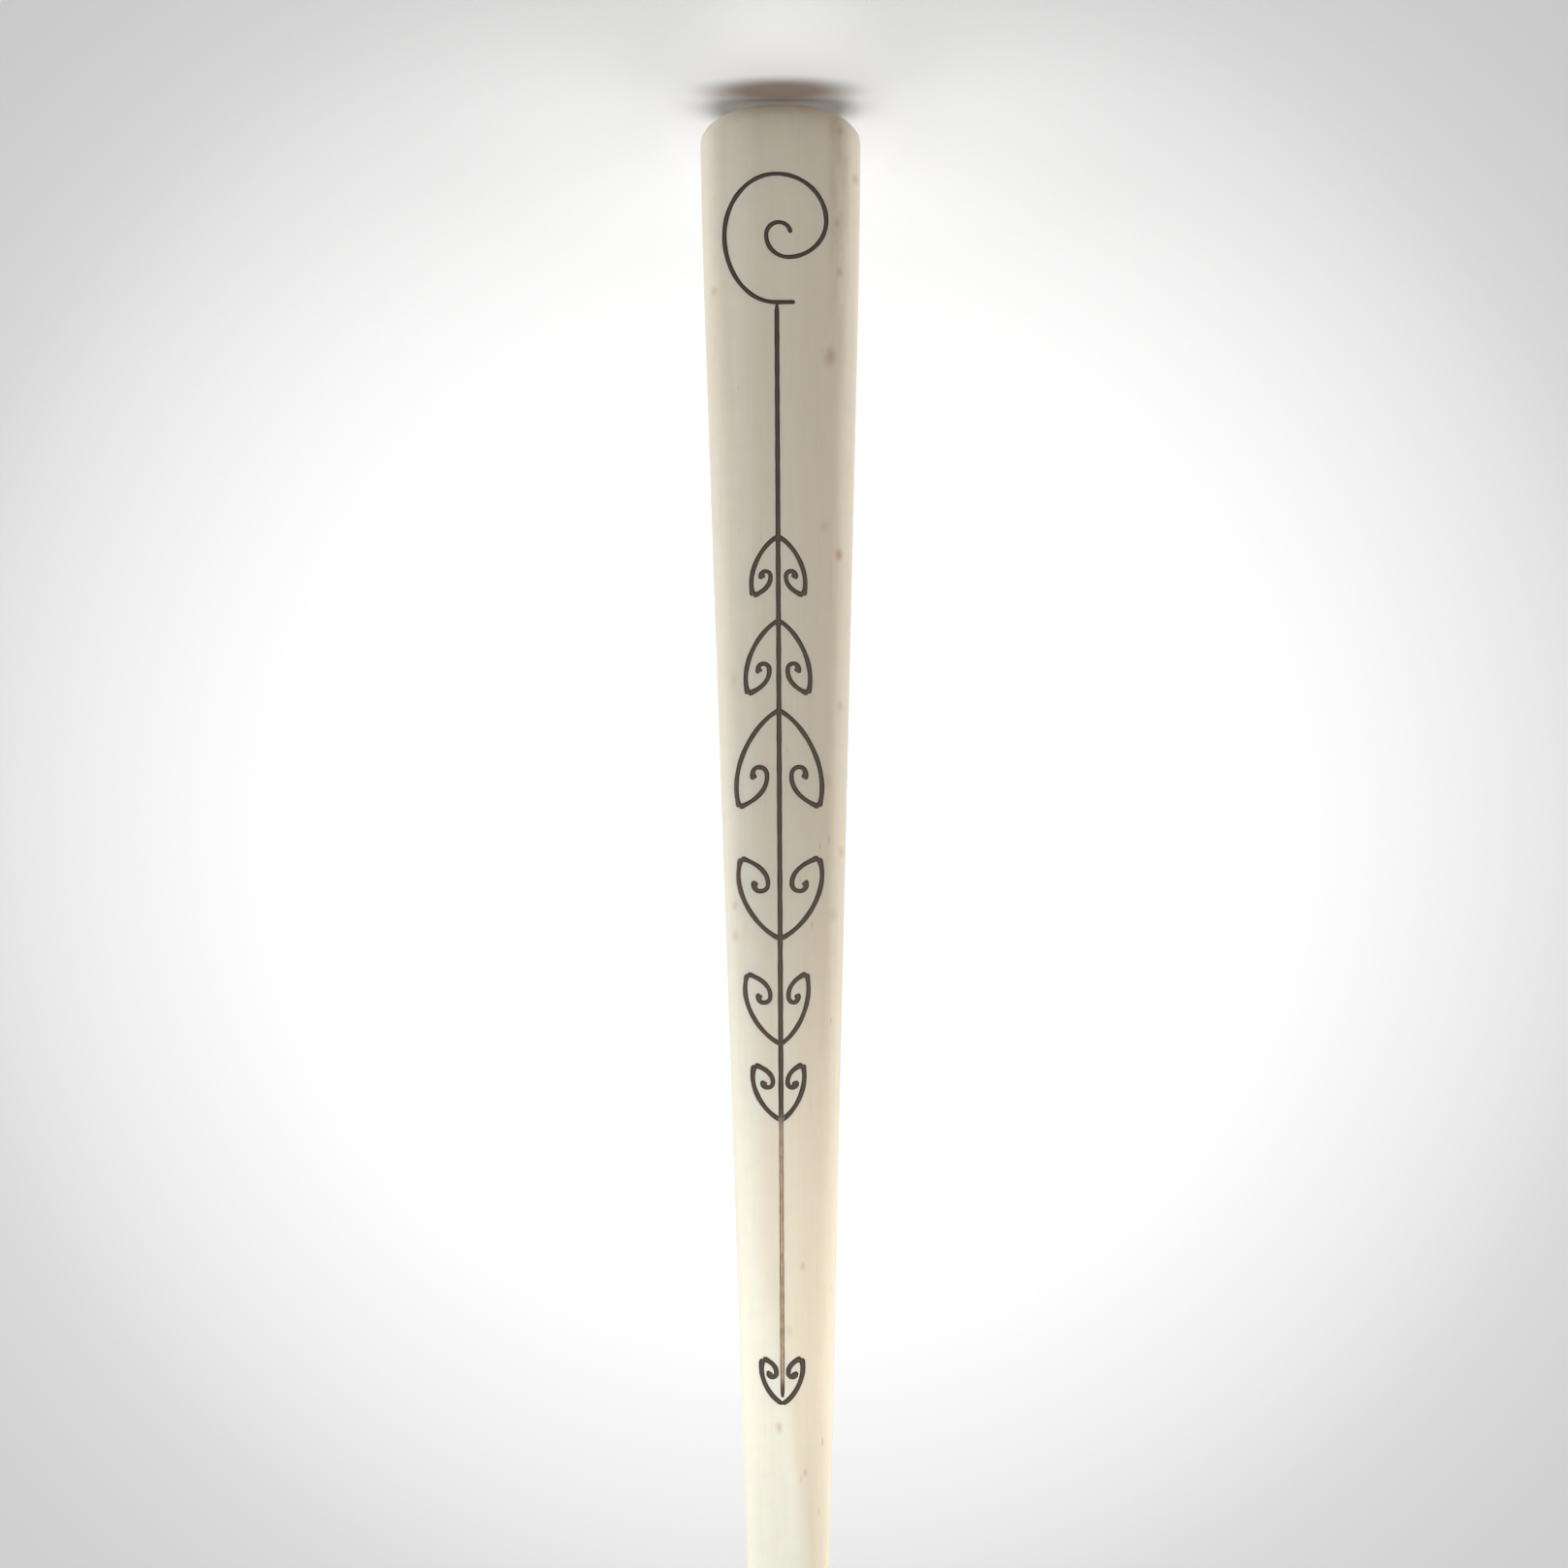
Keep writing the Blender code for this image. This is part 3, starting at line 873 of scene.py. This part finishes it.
class StageSettings(bpy.types.PropertyGroup):
    """Camera, lights and room"""
    camera_distance: length_property("Camera distance", "From the aim point to the camera", 0.70)
    camera_elevation: bpy.props.FloatProperty(
        name="Camera elevation", description="Height angle of the camera above the floor",
        default=math.radians(20.0), subtype="ANGLE",
    )
    camera_roll: bpy.props.FloatProperty(
        name="Camera roll", description="Turn of the camera about its own axis",
        default=math.radians(179.68), subtype="ANGLE",
    )
    aim_height: length_property("Aim height", "Height of the point that the camera looks at", 0.0803)
    lens: plain_property("Lens", "Focal length in millimetres on a 36 mm sensor", 149.0)
    light_power: plain_property("Light power", "Factor on the power of every light", 1.0)
    room_tone: colour_property("Room tone", "Tone of the room behind the floor", (0.62, 0.62, 0.62))
    room_light: plain_property("Room light", "Strength of the room's own soft light", 0.0)


class BoneFolderSettings(bpy.types.PropertyGroup):
    """Every setting of the bone folder"""
    blade: bpy.props.PointerProperty(type=BladeSettings, name="Blade", description="Bone blade")
    engraving: bpy.props.PointerProperty(
        type=EngravingSettings, name="Engraving", description="Cuts and pigment",
    )
    stage: bpy.props.PointerProperty(type=StageSettings, name="Stage", description="Studio stage")


# --- stage ---------------------------------------------------------------------------------

def add_panel(name, place, aim, width, height, power, colour):
    """A soft light panel that the camera doesn't see."""
    deselect_everything()
    bpy.ops.object.light_add(type="AREA", location=place)
    light = bpy.context.object
    light.name = name
    light.rotation_euler = (Vector(aim) - Vector(place)).to_track_quat("-Z", "Y").to_euler()
    light.data.shape = "RECTANGLE"
    light.data.size = width
    light.data.size_y = height
    light.data.energy = power * settings().stage.light_power
    light.data.color = colour
    light.visible_camera = False
    return light


def add_spot(name, place, aim, cone, power, radius=0.02):
    """A soft-edged spot light."""
    deselect_everything()
    bpy.ops.object.light_add(type="SPOT", location=place)
    light = bpy.context.object
    light.name = name
    light.rotation_euler = (Vector(aim) - Vector(place)).to_track_quat("-Z", "Y").to_euler()
    light.data.spot_size = cone
    light.data.spot_blend = 1.0
    light.data.shadow_soft_size = radius
    light.data.energy = power * settings().stage.light_power
    light.data.color = WARM_WHITE
    return light


def folder_pieces():
    """Every finished piece of the folder."""
    pieces = []
    for piece in bpy.context.scene.objects:
        material = piece.active_material
        if piece.type == "MESH" and material and material.name in FOLDER_MATERIALS:
            pieces.append(piece)
    return pieces


def light_only(name, pieces, lights):
    """Let some lights fall only on some pieces."""
    group = bpy.data.collections.new(name)
    bpy.context.scene.collection.children.link(group)
    for piece in pieces:
        group.objects.link(piece)
    for light in lights:
        light.light_linking.receiver_collection = group


def line_of_sight_spread(tree, coordinates):
    """How far a point of the floor lies from the stage's middle line of sight, over its depth."""
    stage = settings().stage
    elevation = stage.camera_elevation
    eye = Vector((
        0.0, -stage.camera_distance * math.cos(elevation),
        stage.aim_height + stage.camera_distance * math.sin(elevation),
    ))
    forward = Vector((0.0, math.cos(elevation), -math.sin(elevation)))
    level = Vector((1.0, 0.0, 0.0))
    upward = level.cross(forward)
    offset = place_node(tree, "ShaderNodeVectorMath", operation="SUBTRACT")
    join(tree, coordinates, offset.inputs[0])
    offset.inputs[1].default_value = eye

    def share_of(direction):
        node = place_node(tree, "ShaderNodeVectorMath", operation="DOT_PRODUCT")
        join(tree, offset.outputs[0], node.inputs[0])
        node.inputs[1].default_value = direction
        return node.outputs["Value"]

    depth = share_of(forward)
    sideways = math_node(tree, "DIVIDE", share_of(level), depth)
    height = math_node(tree, "DIVIDE", share_of(upward), depth)
    sideways = math_node(tree, "POWER", sideways, 2.0)
    height = math_node(tree, "POWER", height, 2.0)
    return math_node(tree, "SQRT", math_node(tree, "ADD", sideways, height))


def painted_shade_ramp(tree, spread):
    """Painted shade: the paper's grey tone at each spread, darker away from the middle line of sight."""
    ramp = tree.nodes.new("ShaderNodeValToRGB")
    ramp.color_ramp.interpolation = "B_SPLINE"
    first, last = PAINTED_SHADE_TONES[0][0], PAINTED_SHADE_TONES[-1][0]
    join(tree, map_range(tree, spread, first, last), ramp.inputs["Fac"])
    stops = ramp.color_ramp.elements
    while len(stops) < len(PAINTED_SHADE_TONES):
        stops.new(0.5)
    for stop, (place, tone) in zip(stops, PAINTED_SHADE_TONES):
        stop.position = (place - first) / (last - first)
        stop.color = (tone, tone, tone, 1.0)
    return ramp.outputs["Color"]


def ellipse_distance(tree, coordinates, centre, half_width, half_depth):
    """Distance from a centre on the floor: 1 on the edge of an ellipse around it."""
    offset = place_node(tree, "ShaderNodeVectorMath", operation="SUBTRACT")
    join(tree, coordinates, offset.inputs[0])
    offset.inputs[1].default_value = centre
    distance = place_node(tree, "ShaderNodeVectorMath", operation="LENGTH")
    shares = (1.0 / half_width, 1.0 / half_depth, 0.0)
    join(tree, stretched(tree, offset.outputs[0], shares), distance.inputs[0])
    return distance.outputs["Value"]


def floor_material():
    """Seamless white paper with painted shade, brightest behind the folder and softly greyer away from
    there; with a painted shadow under the head end, painted shade under the paper spot and a little
    painted light around the head end.
    """
    material, tree, shader = fresh_material("seamless_paper")
    coordinates = object_coordinates(tree)
    # painted shade: the paper greyer away from the middle line of sight
    tone = painted_shade_ramp(tree, line_of_sight_spread(tree, coordinates))
    tooth = map_range(tree, noise(tree, coordinates, 900.0, 3.0), 0.3, 0.7, 0.992, 1.0)
    tone = mix_colour(tree, 1.0, tone, tooth, "MULTIPLY")

    far = place_node(tree, "ShaderNodeVectorMath", operation="LENGTH")
    join(tree, coordinates, far.inputs[0])
    # painted light: the paper a little lighter around the head end, against the folder's soft cast shadow
    near_head = map_range(tree, far.outputs["Value"], *NEAR_HEAD, PAINTED_LIGHT_NEAR_HEAD_FACTOR, 1.0, True)
    tone = mix_colour(tree, 1.0, tone, near_head, "MULTIPLY")
    # painted shade: darker paper where the paper spot throws its pool of light
    painted_shade_under_spot = ellipse_distance(tree, coordinates, PAINTED_SHADE_PLACE, PAINTED_SHADE_HALF_WIDTH, PAINTED_SHADE_HALF_DEPTH)
    painted_shade_under_spot = map_range(tree, math_node(tree, "POWER", painted_shade_under_spot, 2.0), 0.0, 1.0, 1.0, 0.0, True)
    tone = mix_colour(tree, painted_shade_under_spot, tone, (PAINTED_SHADE_TONE,) * 3)
    # painted shadow: a brown contact shadow painted on the paper under the head end
    painted_shadow = ellipse_distance(tree, coordinates, PAINTED_SHADOW_PLACE, PAINTED_SHADOW_HALF_WIDTH, PAINTED_SHADOW_HALF_DEPTH)
    painted_shadow = map_range(tree, painted_shadow, *PAINTED_SHADOW_FADE, 1.0, 0.0, True)
    tone = mix_colour(tree, painted_shadow, tone, PAINTED_SHADOW_TINT, "MULTIPLY")
    join(tree, tone, shader.inputs["Base Color"])
    shader.inputs["Roughness"].default_value = 0.95
    shader.inputs["Specular IOR Level"].default_value = 0.0

    clear = tree.nodes.new("ShaderNodeBsdfTransparent")
    mixed = tree.nodes.new("ShaderNodeMixShader")
    join(tree, map_range(tree, far.outputs["Value"], *FLOOR_FADE, smooth=True), mixed.inputs[0])
    join(tree, shader.outputs[0], mixed.inputs[1])
    join(tree, clear.outputs[0], mixed.inputs[2])
    join(tree, mixed.outputs[0], tree.nodes["Material Output"].inputs["Surface"])
    return material


# --- operators -----------------------------------------------------------------------------

def plain_block(blade):
    """A block of the blade's full length, width and thickness, standing on the floor."""
    deselect_everything()
    bpy.ops.mesh.primitive_cube_add(
        size=1.0, location=(0.0, 0.0, 0.5 * blade.length),
        scale=(2.0 * blade.head_half_width, 2.0 * blade.head_half_thickness, blade.length),
    )
    block = bpy.context.object
    settle(block)
    return block


def narrow_sides(obj, blade):
    """Bring the block to the blade's width at every station."""
    stations = blade_stations(blade.length, blade.head_half_width)
    bpy.ops.object.mode_set(mode="EDIT")
    for z, _ in stations[1:-1]:
        bisect_all(obj, (0.0, 0.0, z), (0.0, 0.0, 1.0))
    for z, half_width in stations:
        select_where(obj, lambda co, level=z: abs(co.z - level) < PLACE_TOLERANCE)
        share = half_width / blade.head_half_width
        bpy.ops.transform.resize(value=(share, 1.0, 1.0), center_override=(0.0, 0.0, z))
    for level in (-blade.head_half_thickness, blade.head_half_thickness):
        select_where(obj, lambda co, flat=level: abs(co.y - flat) < PLACE_TOLERANCE)
        bpy.ops.mesh.dissolve_faces()
    bpy.ops.object.mode_set(mode="OBJECT")


def round_edges(obj, blade):
    """Round the edges of both broad faces."""
    rounding = obj.modifiers.new("edge_rounding", "BEVEL")
    rounding.width = blade.edge_rounding
    rounding.segments = EDGE_SEGMENTS
    rounding.limit_method = "ANGLE"
    rounding.angle_limit = SHARP_EDGE
    rounding.use_clamp_overlap = False
    apply_modifier(obj, rounding)


def add_mesh_lines(obj, blade):
    """Cut the broad faces into small faces, along and across."""
    bpy.ops.object.mode_set(mode="EDIT")
    for column in range(-LONG_COLUMNS, LONG_COLUMNS + 1):
        bisect_all(obj, (column * COLUMN_STEP, 0.0, 0.0), (1.0, 0.0, 0.0))
    for row in range(1, int(blade.length / ROW_STEP)):
        bisect_all(obj, (0.0, 0.0, (row + ROW_OFFSET) * ROW_STEP), (0.0, 0.0, 1.0))
    bpy.ops.mesh.select_all(action="SELECT")
    bpy.ops.mesh.remove_doubles(threshold=WELD_DISTANCE)
    bpy.ops.object.mode_set(mode="OBJECT")


def thin_towards_tip(obj, blade):
    """Taper the thickness from the head end to the tip."""
    thinning = obj.modifiers.new("thinning", "SIMPLE_DEFORM")
    thinning.deform_method = "TAPER"
    thinning.deform_axis = "Z"
    thinning.lock_x = True
    thinning.factor = blade.tip_half_thickness / blade.head_half_thickness - 1.0
    apply_modifier(obj, thinning)


class FOLDER_OT_carve_blade(bpy.types.Operator):
    """Carve the plain bone blade"""
    bl_idname = "folder.carve_blade"
    bl_label = "Carve Blade"

    def execute(self, context):
        blade = settings().blade
        obj = plain_block(blade)
        obj.name = "bone_blade"
        narrow_sides(obj, blade)
        round_edges(obj, blade)
        add_mesh_lines(obj, blade)
        thin_towards_tip(obj, blade)
        obj.data.materials.append(bone_material())
        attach(obj, "root")
        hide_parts("blade")
        return {"FINISHED"}


class FOLDER_OT_fill_spiral(bpy.types.Operator):
    """Draw the spiral near the head: its cut and its pigment"""
    bl_idname = "folder.fill_spiral"
    bl_label = "Fill Spiral"

    def execute(self, context):
        line = spiral_line()
        widths = stroke_widths(len(line), POINT_STEP, SPIRAL_SEED, SPIRAL_SWELLS)
        cut_and_fill("spiral_pigment", "spiral_fill", [(line, widths)], pigment(), stain())
        return {"FINISHED"}


class FOLDER_OT_fill_stem(bpy.types.Operator):
    """Draw the long stem line: its cut and its pigment"""
    bl_idname = "folder.fill_stem"
    bl_label = "Fill Stem"

    def execute(self, context):
        ends = [Vector((STEM_X, STEM_START_Z)), Vector((STEM_X, STEM_END_Z))]
        line = spaced(ends, STEM_POINT_STEP)
        widths = stroke_widths(len(line), STEM_POINT_STEP, STEM_SEED, STEM_SWELLS)
        for index, point in enumerate(line):
            if point.y > LEAF_PAIRS[FINE_STEM_PAIR][0]:
                widths[index] *= FINE_STEM_SHARE
        cut_and_fill("stem_pigment", "stem_fill", [(line, widths)], pigment(), stain())
        return {"FINISHED"}


class FOLDER_OT_fill_leaves(bpy.types.Operator):
    """Draw the seven pairs of curled leaves: their cuts and their pigment"""
    bl_idname = "folder.fill_leaves"
    bl_label = "Fill Leaves"

    def execute(self, context):
        for number, (apex_z, tip_z, right, left, share) in enumerate(LEAF_PAIRS, start=1):
            for side_name, reach in (("right", right), ("left", -left)):
                outer, inner = leaf_lines(apex_z, tip_z, reach)
                seed = 100 * number + len(side_name)
                outer_widths = stroke_widths(len(outer), POINT_STEP, seed, OUTER_LEAF_SWELLS)
                inner_widths = stroke_widths(len(inner), POINT_STEP, seed + 1, INNER_LEAF_SWELLS)
                lines = [
                    (outer, [share * width for width in outer_widths]),
                    (inner, [share * width for width in inner_widths]),
                ]
                label = f"leaf_{number}_{side_name}"
                cut_and_fill(label + "_pigment", label + "_fill", lines, pigment(), stain())
        return {"FINISHED"}


class FOLDER_OT_engrave_blade(bpy.types.Operator):
    """Cut every stroke into the blade"""
    bl_idname = "folder.engrave_blade"
    bl_label = "Engrave Blade"

    def execute(self, context):
        obj = bpy.data.objects["bone_blade"]
        cuts = bpy.data.collections["graver_cuts"]
        engraving = obj.modifiers.new("engraving", "BOOLEAN")
        engraving.operation = "DIFFERENCE"
        engraving.operand_type = "COLLECTION"
        engraving.collection = cuts
        engraving.solver = "EXACT"
        engraving.material_mode = "TRANSFER"
        apply_modifier(obj, engraving)
        for cut in list(cuts.objects):
            bpy.data.objects.remove(cut, do_unlink=True)
        bpy.data.collections.remove(cuts)
        pick(obj)
        bpy.ops.object.shade_smooth_by_angle(angle=SMOOTH_EDGE)
        return {"FINISHED"}


def add_room(stage):
    """The plain room behind the floor."""
    world = bpy.data.worlds.new("studio_room")
    bpy.context.scene.world = world
    world.use_nodes = True
    tree = world.node_tree
    path = tree.nodes.new("ShaderNodeLightPath")
    seen = mix_colour(tree, path.outputs["Is Camera Ray"], (stage.room_light,) * 3, stage.room_tone)
    join(tree, seen, tree.nodes["Background"].inputs["Color"])


def add_camera(stage):
    """The studio camera, aimed at the middle line of the folder and rolled half a turn."""
    elevation = stage.camera_elevation
    away = Vector((0.0, -math.cos(elevation), math.sin(elevation)))
    place = Vector((0.0, 0.0, stage.aim_height)) + away * stage.camera_distance
    bpy.ops.object.camera_add(location=place)
    camera = bpy.context.object
    camera.name = "studio_camera"
    turn = (-away).to_track_quat("-Z", "Y") @ Quaternion((0.0, 0.0, 1.0), stage.camera_roll)
    camera.rotation_euler = turn.to_euler()
    camera.data.sensor_width = SENSOR_WIDTH
    camera.data.lens = stage.lens
    camera.data.clip_start = CLIP_START
    camera.data.clip_end = CLIP_END
    return camera


class FOLDER_OT_lay_stage(bpy.types.Operator):
    """Lay the paper floor, hang the light panels and place the camera"""
    bl_idname = "folder.lay_stage"
    bl_label = "Lay Stage"

    def execute(self, context):
        stage = settings().stage
        deselect_everything()
        bpy.ops.mesh.primitive_circle_add(vertices=96, radius=FLOOR_RADIUS, fill_type="NGON")
        floor = context.object
        floor.name = "paper_floor"
        floor.data.materials.append(floor_material())

        add_panel(*TOP_PANEL)
        folder_lights = [add_panel(*values) for values in FOLDER_PANELS]
        folder_lights += [add_spot(*values) for values in FOLDER_SPOTS]
        light_only("lit_folder", folder_pieces(), folder_lights)
        light_only("lit_paper", [floor], [add_spot(*PAPER_SPOT)])

        add_room(stage)
        context.scene.camera = add_camera(stage)
        context.scene.view_settings.view_transform = "Standard"
        return {"FINISHED"}


class FOLDER_PT_workshop(bpy.types.Panel):
    """Sidebar panel with every operator and setting"""
    bl_label = "Bone Folder"
    bl_idname = "FOLDER_PT_workshop"
    bl_space_type = "VIEW_3D"
    bl_region_type = "UI"
    bl_category = "Bone Folder"

    def draw(self, context):
        column = self.layout.column()
        for operator in OPERATORS:
            column.operator(operator.bl_idname)
        for group in (settings().blade, settings().engraving, settings().stage):
            box = self.layout.box()
            for name in group.__annotations__:
                box.prop(group, name)


OPERATORS = (
    FOLDER_OT_carve_blade,
    FOLDER_OT_fill_spiral,
    FOLDER_OT_fill_stem,
    FOLDER_OT_fill_leaves,
    FOLDER_OT_engrave_blade,
    FOLDER_OT_lay_stage,
)
CLASSES = (
    BladeSettings,
    EngravingSettings,
    StageSettings,
    BoneFolderSettings,
    *OPERATORS,
    FOLDER_PT_workshop,
)


def register():
    """Register every class and hang the settings on the scene."""
    for cls in CLASSES:
        bpy.utils.register_class(cls)
    bpy.types.Scene.bone_folder = bpy.props.PointerProperty(
        type=BoneFolderSettings, name="Bone folder",
        description="Sizes and colours of the bone folder",
    )


def unregister():
    """Take the settings off the scene and unregister every class."""
    del bpy.types.Scene.bone_folder
    for cls in reversed(CLASSES):
        bpy.utils.unregister_class(cls)


def main():
    """Build the whole folder and its stage."""
    register()
    bpy.ops.folder.carve_blade()
    bpy.ops.folder.fill_spiral()
    bpy.ops.folder.fill_stem()
    bpy.ops.folder.fill_leaves()
    bpy.ops.folder.engrave_blade()
    bpy.ops.folder.lay_stage()
    deselect_everything()


if __name__ == "__main__":
    main()
